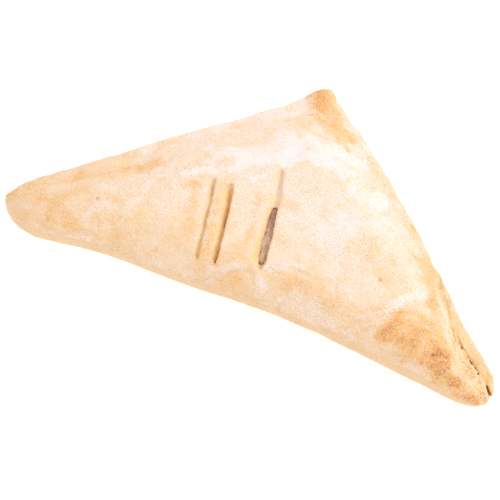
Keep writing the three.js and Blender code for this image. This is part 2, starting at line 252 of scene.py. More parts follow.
class Recipe:
    """A material's nodes, with short calls for the ones used here."""

    def __init__(self, name):
        self.material = bpy.data.materials.new(name)
        self.material.use_nodes = True
        self.tree = self.material.node_tree
        self.shader = self.tree.nodes["Principled BSDF"]
        self.place = self.node("ShaderNodeTexCoord").outputs["Object"]

    def node(self, kind, **settings):
        made = self.tree.nodes.new(kind)
        for key, value in settings.items():
            setattr(made, key, value)
        return made

    def feed(self, socket, value):
        if isinstance(value, bpy.types.NodeSocket):
            self.tree.links.new(value, socket)
        else:
            socket.default_value = value

    def mark(self, name):
        return self.node("ShaderNodeAttribute", attribute_name=name).outputs["Fac"]

    def sum(self, operation, a, b=0.0, c=0.0, clamp=False):
        made = self.node("ShaderNodeMath", operation=operation, use_clamp=clamp)
        for socket, value in zip(made.inputs, (a, b, c)):
            self.feed(socket, value)
        return made.outputs[0]

    def ramp(self, value, low, high, low_out=0.0, high_out=1.0):
        made = self.node("ShaderNodeMapRange", interpolation_type="SMOOTHSTEP")
        for socket, v in zip(made.inputs, (value, low, high, low_out, high_out)):
            self.feed(socket, v)
        return made.outputs[0]

    def noise(self, size, detail=2.0, rough=0.5, stretch=(1, 1, 1)):
        """Noise whose grain is about size millimetres, 0 to 1."""
        scaled = self.node("ShaderNodeMapping")
        self.feed(scaled.inputs["Vector"], self.place)
        scaled.inputs["Scale"].default_value = [s / (size * MM) for s in stretch]
        made = self.node("ShaderNodeTexNoise")
        self.feed(made.inputs["Vector"], scaled.outputs[0])
        made.inputs["Scale"].default_value = 1
        made.inputs["Detail"].default_value = detail
        made.inputs["Roughness"].default_value = rough
        return made.outputs["Fac"]

    def mix(self, share, a, b):
        made = self.node("ShaderNodeMix", data_type="RGBA")
        self.feed(made.inputs["Factor"], share)
        self.feed(made.inputs[6], a)
        self.feed(made.inputs[7], b)
        return made.outputs[2]

    def shades(self, value, stops):
        made = self.node("ShaderNodeValToRGB")
        self.feed(made.inputs[0], value)
        band = made.color_ramp
        while len(band.elements) < len(stops):
            band.elements.new(0.5)
        for element, (position, colour) in zip(band.elements, stops):
            element.position = position
            element.color = colour
        return made.outputs[0]

    def bump(self, height, depth, under=None):
        made = self.node("ShaderNodeBump")
        made.inputs["Strength"].default_value = 1
        made.inputs["Distance"].default_value = depth * MM
        self.feed(made.inputs["Height"], height)
        if under:
            self.feed(made.inputs["Normal"], under)
        return made.outputs[0]

    def set(self, **inputs):
        for name, value in inputs.items():
            self.feed(self.shader.inputs[name.replace("_", " ")], value)


PALE, CREAM = linear(253, 223, 186), linear(252, 211, 163)
GOLD, TOAST, CHAR = linear(250, 193, 116), linear(237, 167, 88), linear(198, 128, 64)
PAINTED_SHADE_TONE = linear(227, 191, 148)  # painted shade: a darker tan-grey for rims that turn away from the key lamp
FLOUR = linear(254, 243, 243)


def baked_crust():
    r = Recipe("baked_crust")
    baked = r.mark("browning")
    fine = r.ramp(r.noise(0.6, 4, 0.75), 0.3, 0.7, -1, 1)
    brown = r.sum("ADD", baked, r.ramp(r.noise(5, 3), 0.3, 0.75, -0.1, 0.12))
    brown = r.sum("ADD", brown, r.sum("MULTIPLY", fine, r.sum("MULTIPLY_ADD", baked, 0.1, 0.18)))
    brown = r.sum("ADD", brown, r.ramp(r.noise(1.2, 2), 0.66, 0.73, 0, 0.12))
    colour = r.shades(brown, [(0, PALE), (0.28, CREAM), (0.52, GOLD), (0.75, TOAST), (1, CHAR)])
    # painted shade: rims turned away from the key lamp are mixed towards a darker tan-grey, broken up by
    # patchy noise
    patchy = r.ramp(r.noise(0.8, 3, 0.7), 0.3, 0.7, 0.3, 1.45)
    colour = r.mix(r.sum("MULTIPLY", r.mark("painted_shade"), patchy, clamp=True), colour, PAINTED_SHADE_TONE)
    leaf_lines = r.noise(0.55, 2, 0.6, stretch=(0.1, 0.1, 1))
    leaf_lines = r.sum("ADD", leaf_lines, r.sum("MULTIPLY_ADD", r.mark("leaf"), 0.3, -0.15))
    leaf_lines = r.sum("ADD", leaf_lines, r.ramp(r.noise(7, 2), 0.3, 0.7, -0.1, 0.1))
    inside = r.shades(leaf_lines, [
        (0.3, linear(230, 172, 108)), (0.5, linear(249, 211, 158)), (0.7, linear(254, 228, 188)),
    ])
    colour = r.mix(r.mark("cut"), colour, inside)
    # painted shade: the deeper a point lies in a slit or in the gap at the right tip, the darker and
    # browner its colour
    deep = r.mark("depth")
    painted_slit_shade = r.shades(deep, [
        (0, linear(253, 222, 176)), (0.35, linear(253, 218, 158)), (0.7, linear(252, 210, 144)),
        (0.86, linear(240, 190, 118)), (1, linear(192, 134, 74)),
    ])
    colour = r.mix(r.ramp(deep, 0.04, 0.3), colour, painted_slit_shade)
    dust = r.mark("flour")
    speck = r.noise(0.42, 3, 0.7)
    powder = r.sum("ADD", r.sum("MULTIPLY", dust, 1.25), r.ramp(speck, 0.3, 0.7, -0.7, 0.7), clamp=True)
    powder = r.sum("MULTIPLY", powder, r.ramp(dust, 0.0, 0.25))
    powder = r.sum("MULTIPLY", powder, r.sum("MULTIPLY_ADD", deep, -0.85, 1.0))
    colour = r.mix(powder, colour, FLOUR)
    skin = r.bump(r.noise(1.6, 4, 0.6), 0.3)
    grain = r.bump(r.noise(0.4, 3, 0.7), 0.14, skin)
    r.set(Base_Color=colour, Normal=grain, Roughness=r.ramp(powder, 0, 1, 0.62, 0.95))
    r.set(Specular_IOR_Level=0.3, Subsurface_Weight=0.12, Subsurface_Radius=(1.0, 0.55, 0.3))
    r.set(Subsurface_Scale=0.0018, Sheen_Weight=0.05, Sheen_Roughness=0.6)
    return r.material


def flaky_leaf():
    r = Recipe("flaky_leaf")
    mottled = r.ramp(r.noise(1.5, 3), 0.3, 0.7, -0.15, 0.35)
    toasted = r.sum("ADD", r.sum("MULTIPLY", r.mark("rim"), 0.5), mottled)
    r.set(Base_Color=r.shades(toasted, [(0, PALE), (0.4, CREAM), (0.75, GOLD), (1, TOAST)]))
    r.set(Normal=r.bump(r.noise(0.5, 3), 0.1), Roughness=0.6, Specular_IOR_Level=0.35)
    r.set(Subsurface_Weight=0.15, Subsurface_Radius=(1.0, 0.6, 0.35), Subsurface_Scale=0.001)
    return r.material


def cooked_fruit():
    r = Recipe("cooked_fruit")
    pulp = r.shades(r.noise(1.2, 4, 0.6), [
        (0.3, linear(164, 114, 98)), (0.55, linear(188, 138, 118)), (0.8, linear(208, 168, 142)),
    ])
    specks = r.sum("MULTIPLY_ADD", r.mark("sugar"), 0.16, r.noise(0.42, 3, 0.7))
    colour = r.mix(r.ramp(specks, 0.54, 0.66, 0, 0.85), pulp, linear(224, 197, 164))
    r.set(Base_Color=colour, Normal=r.bump(r.noise(0.8, 3), 0.4), Roughness=0.45)
    r.set(Specular_IOR_Level=0.5, Coat_Weight=0.2, Coat_Roughness=0.25)
    return r.material


# ---------------------------------------------------------------- the crust

def plain_mesh(thing, name):
    """The evaluated thing as a new plain object."""
    graph = bpy.context.evaluated_depsgraph_get()
    return placed(name, bpy.data.meshes.new_from_object(thing.evaluated_get(graph)))


def discard(thing):
    mesh = thing.data
    bpy.data.objects.remove(thing)
    bpy.data.meshes.remove(mesh)


SHARP = math.radians(38)  # edges of the CAD solids that are sharper than this are kept


def fine_copy(node, name, voxel):
    """A CAD solid as an even mesh: its facets rounded, its sharp edges kept."""
    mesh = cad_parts[node].data.copy()
    work = bmesh.new()
    work.from_mesh(mesh)
    bmesh.ops.remove_doubles(work, verts=work.verts, dist=0.00002)
    crease = work.edges.layers.float.new("crease_edge")
    for edge in work.edges:
        if edge.is_manifold and edge.calc_face_angle(0) > SHARP:
            edge[crease] = 1.0
    work.to_mesh(mesh)
    work.free()
    rough = placed("rough", mesh)
    rounder = rough.modifiers.new("rounder", "SUBSURF")
    rounder.levels = rounder.render_levels = 2
    even = rough.modifiers.new("even", "REMESH")
    even.mode = "VOXEL"
    even.voxel_size = voxel * MM
    made = plain_mesh(rough, name)
    discard(rough)
    return made


def read(items, name, width, kind=np.float32):
    """One property of all the vertices or edges, a row for each."""
    flat = np.empty(len(items) * width, kind)
    items.foreach_get(name, flat)
    return flat.reshape(-1, width)


def coordinates(mesh):
    return read(mesh.vertices, "co", 3).astype(float) / MM


def outward(mesh):
    return read(mesh.vertices, "normal", 3).astype(float)


def relaxed(values, pairs, rounds, share=0.5):
    """Each value moved towards the mean of its neighbours, round after round."""
    n = len(values)
    a, b = pairs[:, 0], pairs[:, 1]
    count = np.maximum(np.bincount(a, minlength=n) + np.bincount(b, minlength=n), 1)
    share = np.broadcast_to(np.asarray(share, float), (n,))
    out = values.copy()
    for _ in range(rounds):
        for axis in range(out.shape[1]):
            v = out[:, axis]
            mean = (np.bincount(a, v[b], n) + np.bincount(b, v[a], n)) / count
            out[:, axis] = v + share * (mean - v)
    return out


def wear(mesh, material):
    mesh.shade_smooth()
    mesh.materials.clear()
    mesh.materials.append(material)


def write_back(mesh, points):
    mesh.vertices.foreach_set("co", (points * MM).astype(np.float32).ravel())
    mesh.update()


MARKS = ("browning", "flour", "cut", "painted_shade", "leaf", "depth")  # what the crust's material reads
SIDE_REACH = 5  # how far in from a cut leg its side wall can lie
LOBE_TOP = 7  # height of the lower lip at the right tip
TIP_START, LOBE_START = 50, 60  # how far along X the cut face at the tip and its lower lip begin
HOLLOW_EDGE, HOLLOW_TOP = 12, 7  # a point this far from every side and this low lies on the hollow


def mark(mesh, name, values):
    layer = mesh.attributes.new(name, "FLOAT", "POINT")
    layer.data.foreach_set("value", np.clip(values, 0, 1).astype(np.float32))


class Ground:
    """Where points of the crust lie: on which side, how near an edge, a slit, or the gap at the tip."""

    def __init__(self, points, normals):
        self.points, self.xy, self.z = points, points[:, :2], points[:, 2]
        self.normals = normals
        self.left, self.right, self.fold = (
            off_line(line, self.xy)[0] for line in (LEFT_LINE, RIGHT_LINE, FOLD_LINE)
        )
        self.top = smooth((normals[:, 2] + 0.1) / 0.5) * (self.z > 2)
        ridge, _, beyond = off_line(RIDGE_LINE, self.xy)
        self.gap, self.up_gap, within = off_line(GAP_LINE, self.xy)
        self.ridge = ridge * -beyond
        self.past_gap = self.gap * within
        self.band_at_tip = smooth(0.5 - self.ridge / 0.8) * smooth(self.past_gap * -1 / 0.5 + 0.6)
        self.band_at_tip *= smooth((self.xy[:, 0] - TIP_START) / 6) * smooth(self.z - 4)
        self.lobe = smooth(self.past_gap / 0.5) * smooth((self.xy[:, 0] - LOBE_START) / 6)
        self.lobe *= smooth(LOBE_TOP - self.z)
        edge = np.minimum(self.left, self.right)
        steep = smooth((0.8 - np.abs(normals[:, 2])) / 0.35)
        self.side = steep * (edge < SIDE_REACH) * smooth((self.fold - 4) / 3)
        self.inside = (np.minimum(edge, self.fold) > HOLLOW_EDGE) & (self.z < HOLLOW_TOP)
        self.wobble = lumps(points, 4.5, 47, 4)

    def near(self, line, reach):
        """Numbers of the points that may lie within reach of a line."""
        low, high = line.min(0) - reach, line.max(0) + reach
        return np.nonzero(((self.xy > low) & (self.xy < high)).all(1))[0]

    def band(self, knots, half, soft, ragged=0.5):
        """A strip along a path, 1 within half its width, with a ragged rim that fades over soft."""
        if len(knots) > 1:
            line = path_points(knots)
        else:
            line = np.array([knots[0], knots[0]]) + [[0, 0], [0.01, 0]]
        some = self.near(line, 2 * half + 2 * soft)
        found = np.zeros(len(self.xy))
        gap = off_line(line, self.xy[some])[0]
        shake = ragged * (half + soft) * self.wobble[some]
        found[some] = smooth((half + shake - gap) / (1.5 * soft) + 0.5)
        return found * self.top

    def furrow(self, knots, width, depth):
        """Height of a crease along a path: a narrow furrow with a soft rise on both sides of it."""
        line = path_points(knots)
        some = self.near(line, 5 * width)
        gap, along, _ = off_line(line, self.xy[some])
        fade = smooth(along / 0.15) * smooth((1 - along) / 0.15)
        fade *= smooth((self.normals[some, 2] + 0.35) / 0.4)
        rise = 0.35 * np.exp(-(((gap - 2.2 * width) / (1.4 * width)) ** 2))
        dip = (1 + 0.45 * self.wobble[some]) * np.exp(-((gap / width) ** 2))
        found = np.zeros(len(self.xy))
        found[some] = depth * fade * (rise - dip)
        return found

    def flake(self, x, y, length, width, turn, rise):
        """Height of a thin raised leaf with a broken rim."""
        some = self.near(np.array([[x, y]]), 1.5 * length)
        across = self.xy[some] - (x, y)
        c, w = math.cos(math.radians(turn)), math.sin(math.radians(turn))
        u, v = across[:, 0] * c + across[:, 1] * w, across[:, 1] * c - across[:, 0] * w
        found = np.zeros(len(self.xy))
        found[some] = rise * smooth((1 + 0.3 * self.wobble[some] - np.hypot(u / length, v / width)) / 0.2)
        return found * self.top


def slit_space(xy):
    """For each slit: distance across, + on its right; a share that is 1 along it and fades at its
    ends; and the share of the way along it."""
    found = []
    for rear, front in SLITS:
        rear, run = np.array(rear), np.array(front) - np.array(rear)
        length = np.hypot(*run)
        run = run / length
        rel = xy - rear
        along = rel @ run
        across = rel @ np.array([-run[1], run[0]])
        inside = smooth(along / 3 + 0.5) * smooth((length - along) / 3 + 0.5)
        found.append((across, inside, along / length))
    return found


# Creases pressed or baked into the crust: points in plan, width, depth
CREASES = [
    (
        [(-76.3, -28.2), (-68, -24), (-59.6, -18.4), (-50.7, -14), (-44.7, -11), (-38, -6.5), (-30, 1)],
        1.2, 0.5,
    ),
    (
        [
            (-16.8, -42.8), (-12.4, -41), (-8.5, -39.2), (-4.5, -37.2), (-0.7, -36), (3.2, -35.1),
            (6.2, -38.9),
        ],
        0.8, 0.6,
    ),
    ([(6, -34.5), (12.4, -31.2), (15.1, -29.9), (19.8, -30.6), (25.1, -30.8), (30, -29)], 0.7, 0.36),
    ([(36, -39), (42.4, -37), (45.6, -35.2), (49, -33.2), (54, -30)], 0.7, 0.45),
    ([(40, -40), (44.3, -38.4), (47.7, -36.7), (51.3, -33.4)], 0.6, 0.4),
    ([(51.4, -41.3), (52.5, -39), (53.9, -36.4), (55.9, -33.9), (60, -31.5)], 0.6, 0.45),
    ([(55.4, -40.3), (56.7, -38), (59, -35.4), (63, -33)], 0.6, 0.4),
    ([(60, -43), (63, -40.6), (66.5, -39.5), (70, -39.6)], 0.6, 0.35),
    ([(20, -41), (25, -37.5), (31, -36)], 0.8, 0.3),
    ([(-70, -42.3), (-63.4, -43.2), (-58.2, -42.6), (-53.9, -40)], 0.6, 0.5),
    ([(-72, -40.2), (-66, -40.8), (-60, -41), (-52, -38.6), (-46, -38)], 0.5, 0.36),
    ([(22.4, -41.4), (29, -41.8), (35.6, -42), (38.8, -42.3)], 0.5, 0.4),
    ([(47.2, -42.2), (52.4, -42.7), (57.6, -43.1), (61.5, -43.4)], 0.5, 0.4),
    ([(-65.7, -25.5), (-63.6, -26.8), (-63.2, -29)], 0.3, 0.16),
    ([(-49.8, -33.9), (-48.1, -35.7), (-47.4, -38.2)], 0.35, 0.16),
    ([(-38.6, -7), (-37.8, -5.1), (-36.2, -4.2)], 0.35, 0.4),
    ([(-30, -5.2), (-29.7, -7), (-30.6, -8.8), (-33.4, -9.8)], 0.35, 0.35),
    ([(12.6, 21.8), (15.6, 19.2), (18, 16.8)], 0.4, 0.3),
    ([(-4, 36.5), (-1.2, 38.4), (1.4, 36), (2.6, 33.6)], 0.45, 0.3),
    ([(0, 30), (5, 27.6), (10, 26.4)], 0.6, 0.22),
    ([(-2.6, -6), (-1.8, -10.1), (-0.2, -18.5), (1.4, -27.5)], 0.45, 0.22),
    ([(-0.8, 2.4), (-0.2, 4.8), (2.4, 7.4), (7, 9.4)], 0.5, 0.34),
]
# Puffed spots: x, y, radius, rise
PUFFS = [
    (-0.3, -39.6, 5.2, 1.0), (14, -32.6, 3, 0.45), (22.5, -33.4, 4, 0.5), (49, -38.5, 4, 0.55),
    (57, -41, 4, 0.5), (-33.6, -7, 4.4, 0.3), (-57, -38.6, 4.2, 0.45), (-46, -40.5, 3.5, 0.35),
    (66, -39, 4.5, 0.5), (8, 29, 6, 0.4), (-24, -17, 4.5, 0.3), (26, 3, 7, 0.4), (45, -14, 6, 0.4),
    (-2, 38.5, 3, 0.5), (-77, -35, 4, 0.4), (-15.4, -20, 1.9, 0.3), (33, -38.5, 4, 0.45),
    (-25, -40.5, 5, 0.4), (71, -42.5, 3, 0.4),
]
# Small pits: x, y, radius, depth
PITS = [
    (-51.5, -28.7, 0.5, 1.1), (64.2, -40.1, 0.5, 0.9), (41.4, -23.8, 0.5, 0.9),
    (-37.9, -6.4, 0.5, 0.5), (-30.4, -8.2, 0.5, 0.5), (14.8, -40, 0.7, 0.7), (-61, -26, 0.4, 0.5),
    (-64.6, -39, 0.4, 0.5), (30, -31, 0.4, 0.4),
]
# Thin raised leaves: x, y, half length, half width, turn in degrees, rise
FLAKES = [
    (-34, -7, 4, 2.6, 20, 0.28), (58, -37.6, 3.4, 1.5, 40, 0.22), (66.5, -41.4, 3, 1.3, -10, 0.22),
    (48.5, -36.6, 3.6, 1.2, 38, 0.2), (-60, -39.4, 4, 1.4, 0, 0.2), (7, 24.6, 4.4, 1.8, -35, 0.2),
    (-72, -36, 4, 2.4, 30, 0.18), (20, -31.6, 3.6, 1.6, 5, 0.2), (13.6, -38.6, 1.6, 1.1, 30, 0.25),
]
# Soft unevenness all over: size of the lumps, seed, height. The finest is weaker on the cut sides.
BROAD_LUMPS, SMALL_LUMPS, FINE_LUMPS = (15, 11, 0.36), (4.5, 23, 0.16), (1.5, 31, 0.07)
# Low blisters strewn over the crust, within half its length and width
BLISTERS, HALF_LENGTH, HALF_WIDTH = 150, 84, 46
BLISTER_RADIUS, BLISTER_RISE = (1.0, 3.2), (0.06, 0.22)
# The crust stands up on the right of a slit and sinks on its left: height, and how far it runs
LIP_RISE, LIP_SINK = (0.5, 4.5), (0.2, 3.5)
# Thin layers of dough: spacing on the cut sides and the lower lip, number across the cut face at the tip
SIDE_PITCH, LOBE_PITCH, TIP_LAYERS = 1.05, 1.2, 4.2
# Height of the layers and of the roughness on them: on the cut sides, at the tip, on its lower lip
LAYER_HEIGHT, LAYER_ROUGH = (0.17, 0.15, 0.1), (0.05, 0.1, 0.03)


def layer_lines(g):
    """Where the thin layers of dough stand out, -1 to 1, on the cut sides and at the tip."""
    wander = lumps(g.points, 7, 51)
    ripple = lumps(g.points * (1, 1, 0.6), 2.6, 53)
    side = g.side * np.sin((g.z + 0.5 * wander + 0.16 * ripple) * 2 * math.pi / SIDE_PITCH)
    share = g.ridge / (g.ridge + g.gap + 0.01)
    band = g.band_at_tip * np.sin((share * TIP_LAYERS + 0.3 * wander + 0.5) * 2 * math.pi)
    curl = g.lobe * np.sin((g.gap + 0.4 * wander) * 2 * math.pi / LOBE_PITCH)
    return np.clip(side + band + curl, -1, 1)


def layers(g):
    """Height of those layers, ragged along their run."""
    ragged = lumps(g.points * (1, 1, 2.2), 2.2, 61, 2)
    broken = smooth(0.55 + 0.8 * lumps(g.points * (1, 1, 1.6), 4, 65))
    side, band, lobe = LAYER_HEIGHT
    amount = side * g.side * (1 - g.lobe) + band * g.band_at_tip + lobe * g.lobe
    side, band, lobe = LAYER_ROUGH
    rough = side * g.side + band * g.band_at_tip + lobe * g.lobe
    return amount * broken * layer_lines(g) + rough * ragged


def knead(g):
    """The finished shape of the crust: swells, creases, puffs, blisters and pits, along the normals."""
    above = smooth((g.z - 2) / 4)
    lift = np.zeros(len(g.points))
    for (size, seed, height), share in (
        (BROAD_LUMPS, above), (SMALL_LUMPS, above), (FINE_LUMPS, 1 - 0.6 * g.side),
    ):
        lift += height * lumps(g.points, size, seed, 2) * share
    for knots, width, depth in CREASES:
        lift += g.furrow(knots, width, depth)
    for x, y, radius, rise in PUFFS:
        lift += rise * blob(g.xy, x, y, radius) * g.top
    for x, y, radius, sink in PITS:
        lift -= sink * blob(g.xy, x, y, radius) * g.top
    for x, y, length, width, turn, rise in FLAKES:
        lift += g.flake(x, y, length, width, turn, rise)
    rng = np.random.default_rng(7)
    for _ in range(BLISTERS):
        x, y = rng.uniform(-HALF_LENGTH, HALF_LENGTH), rng.uniform(-HALF_WIDTH, HALF_WIDTH)
        radius, rise = rng.uniform(*BLISTER_RADIUS), rng.uniform(*BLISTER_RISE)
        near = np.hypot(g.xy[:, 0] - x, g.xy[:, 1] - y) < 2.5 * radius
        lift[near] += rise * smooth(blob(g.xy[near], x, y, radius) * 1.6) * g.top[near]
    for share, (across, inside, along) in zip(SLIT_SHADE, slit_space(g.xy)):
        inside = inside * (0.3 + 0.7 * np.interp(along, *share))
        for way, (height, run) in ((1, LIP_RISE), (-1, LIP_SINK)):
            lip = smooth(way * across / 0.5) * np.exp(-((across / run) ** 2))
            lift += way * height * inside * lip * g.top
    return g.points + g.normals * (lift + layers(g))[:, None]


# Drifts of flour: path in plan, half width, amount, softness of the rim
FLOURED = [
    (
        [(-36.5, -13.5), (-28.2, -9.9), (-22.5, -7.1), (-16.9, -4), (-12.2, -1.2), (-7.6, 1.9)],
        1.8, 0.7, 1.8,
    ),
    ([(-14.5, 0.6), (-7.6, 2.6), (-2.9, 6), (2.9, 9), (9.9, 11)], 3.6, 0.8, 2),
    ([(-20, 2), (-11, 5), (-4, 11), (4, 15), (14, 14), (22, 9), (30, 4)], 6, 0.62, 6),
    ([(-8.4, -3.5), (-5, -3)], 2.2, 0.55, 2),
    ([(-37.8, -18.2), (-38.8, -22.8), (-40.1, -27.7)], 3.4, 0.4, 4),
    ([(44.4, -35.6), (48.3, -31), (50.9, -27.2), (53.5, -23.4), (55, -20.4)], 1.6, 0.6, 2.4),
    ([(48.6, -29.6), (51.6, -26)], 1.6, 0.7, 2.4),
    ([(36, -38), (41, -36.3), (45, -35)], 1, 0.45, 1.4),
    ([(4.7, -33.8), (6.6, -36.2), (8.7, -38)], 1, 0.42, 2.2),
    ([(6.5, -33), (12.4, -30.6), (15.1, -28.9), (18, -28.9), (22, -30)], 0.6, 0.44, 1.6),
    ([(-8.8, -37.4), (-10, -38.6)], 0.8, 0.42, 1.6),
    ([(-17, -42.4), (-12, -40.4), (-8.4, -38.6), (-3, -35.6), (1, -34.6)], 0.6, 0.34, 1.6),
    ([(22, -11), (29, -7.6), (35, -4.6)], 5, 0.55, 5),
    ([(6, -4), (14, -9), (20, -16)], 7, 0.4, 6),
    ([(54, -43), (62, -44.6), (72, -46.2)], 1.4, 0.28, 2),
    ([(-64, -42), (-56, -40.4), (-50, -40)], 0.8, 0.3, 1.4),
    ([(20, -38), (30, -40), (38, -41)], 3, 0.28, 3),
    ([(26, -25), (36, -29)], 5, 0.3, 5),
    ([(14.6, -38.4)], 0.6, 0.55, 0.8),
    ([(-52, -33), (-46, -30)], 3, 0.3, 3),
    ([(-48, 2), (-30, 16), (-14, 30), (-8, 35)], 5, 0.44, 6),
]
# Where the crust is bare and golden: the same
BROWNED = [
    ([(-0.4, 39), (2.6, 35), (6, 31), (9.4, 27)], 4, 0.36, 3.6),
    ([(2, 29.6), (6.4, 27), (10.3, 24)], 3.8, 0.34, 3.2),
    ([(2, 21.6), (6.6, 20.4), (10, 18.8)], 1.2, 0.22, 1.8),
    ([(12.6, 23.4), (15.4, 20.6)], 0.9, 0.28, 0.8),
    ([(-3, 36), (-0.5, 36.8), (3, 38.4)], 2.6, 0.16, 3.4),
    ([(-31.5, -15.2), (-27.3, -15.3), (-23.4, -13)], 2, 0.27, 2.6),
    ([(-22.6, -15.5), (-21, -22.6), (-19.4, -29.6)], 1.8, 0.18, 3.4),
    ([(-15.9, -11.2), (-14.4, -21.7), (-12.5, -31.9)], 1.8, 0.18, 2.6),
    ([(-3.6, -10.5), (-2.4, -18.5), (-0.6, -27.5)], 1.2, 0.2, 2),
    ([(43.5, 3.2), (47.6, -2.1), (52.1, -8.5), (56, -15.5)], 3, 0.28, 4),
    ([(21.8, 3), (25.3, 7.8), (30.8, 9.2)], 3, 0.18, 3.4),
    ([(40, 5), (32, 13), (24, 20)], 2.6, 0.2, 3.8),
    ([(9, -32.6), (13, -32.4), (20.5, -32.6)], 1.1, 0.15, 2.2),
    ([(17, -33.6), (24.8, -33.6)], 2, 0.17, 3.4),
    ([(-2.5, -39.4), (2, -39.6)], 2.6, 0.1, 3),
    ([(50, -38.2), (55.4, -39.4), (61.7, -40.4), (65.8, -41.2)], 3.2, 0.4, 4.4),
    ([(51.3, -33.4), (56.8, -34.6), (61.4, -36.8), (66.6, -39.6)], 3, 0.38, 4.4),
    ([(56, -40), (61.7, -40.8), (65.8, -41.6), (70, -42.9)], 2.6, 0.54, 3.8),
    ([(66.6, -40.6), (70, -42.9), (73.4, -44.1), (77.1, -45.3), (80, -45.9)], 2.8, 0.62, 3),
    ([(45.4, -38), (48.6, -36.2), (52.5, -33)], 0.9, 0.28, 2.4),
    ([(48.4, -39.4), (50.9, -37.4), (54.2, -34.6)], 0.9, 0.3, 2.4),
    ([(46, -34), (54, -33), (60.5, -31), (66, -35)], 3, 0.3, 3.4),
    ([(57, -20), (60.4, -26), (63.4, -31.6), (66.6, -36), (70, -39.4), (73, -41.6)], 1.8, 0.32, 3.4),
    ([(-65.8, -37.8), (-61.2, -39.2), (-56.9, -39.4), (-54.1, -37.9)], 1.3, 0.15, 3),
    ([(-80.1, -34.3), (-76.1, -38.1), (-72.1, -40.6)], 2.4, 0.17, 3.4),
    ([(-81, -31), (-74, -31), (-64, -33)], 5, 0.24, 5),
    (
        [(-76.3, -28.4), (-68, -24), (-59.6, -18.6), (-50.7, -14.2), (-44.7, -11.4), (-40, -8.6)],
        2, 0.24, 4,
    ),
    ([(-48.4, -34), (-46.6, -37.4), (-40, -39), (-30, -39)], 2, 0.13, 3),
    ([(-72, -23), (-62, -14.6), (-54, -8)], 2.4, 0.12, 3.4),
    ([(36, -12), (42, -18)], 4, 0.12, 5),
    ([(30, -35), (40, -38.6)], 2.4, 0.16, 3),
    ([(-62, -26), (-50, -22), (-34, -30)], 7, 0.05, 7),
]

# Slits are bridged over on a grid: width of its cells, cells to each side, half its whole width
BRIDGE_CELL, BRIDGE_STEPS, BRIDGE_HALF = 0.5, 6, 100


def bridged(g):
    """Height of the crust above each point with its slits and cracks closed over."""
    at = np.floor((g.xy + BRIDGE_HALF) / BRIDGE_CELL).astype(int)
    cells = int(2 * BRIDGE_HALF / BRIDGE_CELL)
    grid = np.zeros((cells, cells))
    np.maximum.at(grid, (at[:, 0], at[:, 1]), g.z)
    steps = range(-BRIDGE_STEPS, BRIDGE_STEPS + 1)
    for choose in (np.maximum, np.minimum):
        for axis in (0, 1):
            grid = choose.reduce([np.roll(grid, n, axis) for n in steps])
    for _ in range(3):
        for axis in (0, 1):
            grid = (grid + np.roll(grid, 1, axis) + np.roll(grid, -1, axis)) / 3
    return grid[at[:, 0], at[:, 1]]


# The browned rim of the knob at the apex: x, y, radius
KNOB_RIM = [(-5.4, 38.8, 1.2), (-4.2, 40.3, 1.2), (-3, 41.8, 1.2), (-1.2, 43.2, 1.1), (0.6, 44, 1)]
# How much of each slit's depth shows as painted shade, and how much of its shape is kept and how high its
# lips stand: shares of the way along it, and how much shows there
SLIT_SHADE = [
    ((0, 1), (0.8, 0.8)), ((0, 0.3, 1), (0.7, 1, 1)), ((0, 0.28, 0.4, 1), (0.15, 0.4, 1, 1)),
]
SHADE_LEFT, SHADE_RIGHT = -4.4, 1.8  # how far to both sides of a slit the painted shade on its walls reaches
DARKEST = 2.6  # depth in a slit at which the painted shade on its walls is darkest
BARE, BARE_AT_FOLD = 0.16, 0.06  # browning all over, and more of it near the fold
BROWN_CAP = 0.8
RIM_BROWN, LOBE_BROWN = 0.4, 0.2  # more browning on the knob's rim and the lower lip
DUSTED, DUSTED_ON_TOP, LEAST_DUST = 0.12, 0.14, 0.1
PAINTED_SHADE_STRENGTH = 0.66  # how strong the painted shade is on walls that turn away from the key lamp


def sunk(g):
    """How far a point in a slit lies below the crust around it, in millimetres."""
    deep = np.zeros(len(g.points))
    drop = np.clip(bridged(g) - g.z - 0.3, 0, 6)
    for share, (across, inside, along) in zip(SLIT_SHADE, slit_space(g.xy)):
        amount = np.interp(along, *share) * drop
        between = (across > SHADE_LEFT) * (across < SHADE_RIGHT) * (g.z > 8)
        deep = np.maximum(deep, inside * between * amount)
    return deep


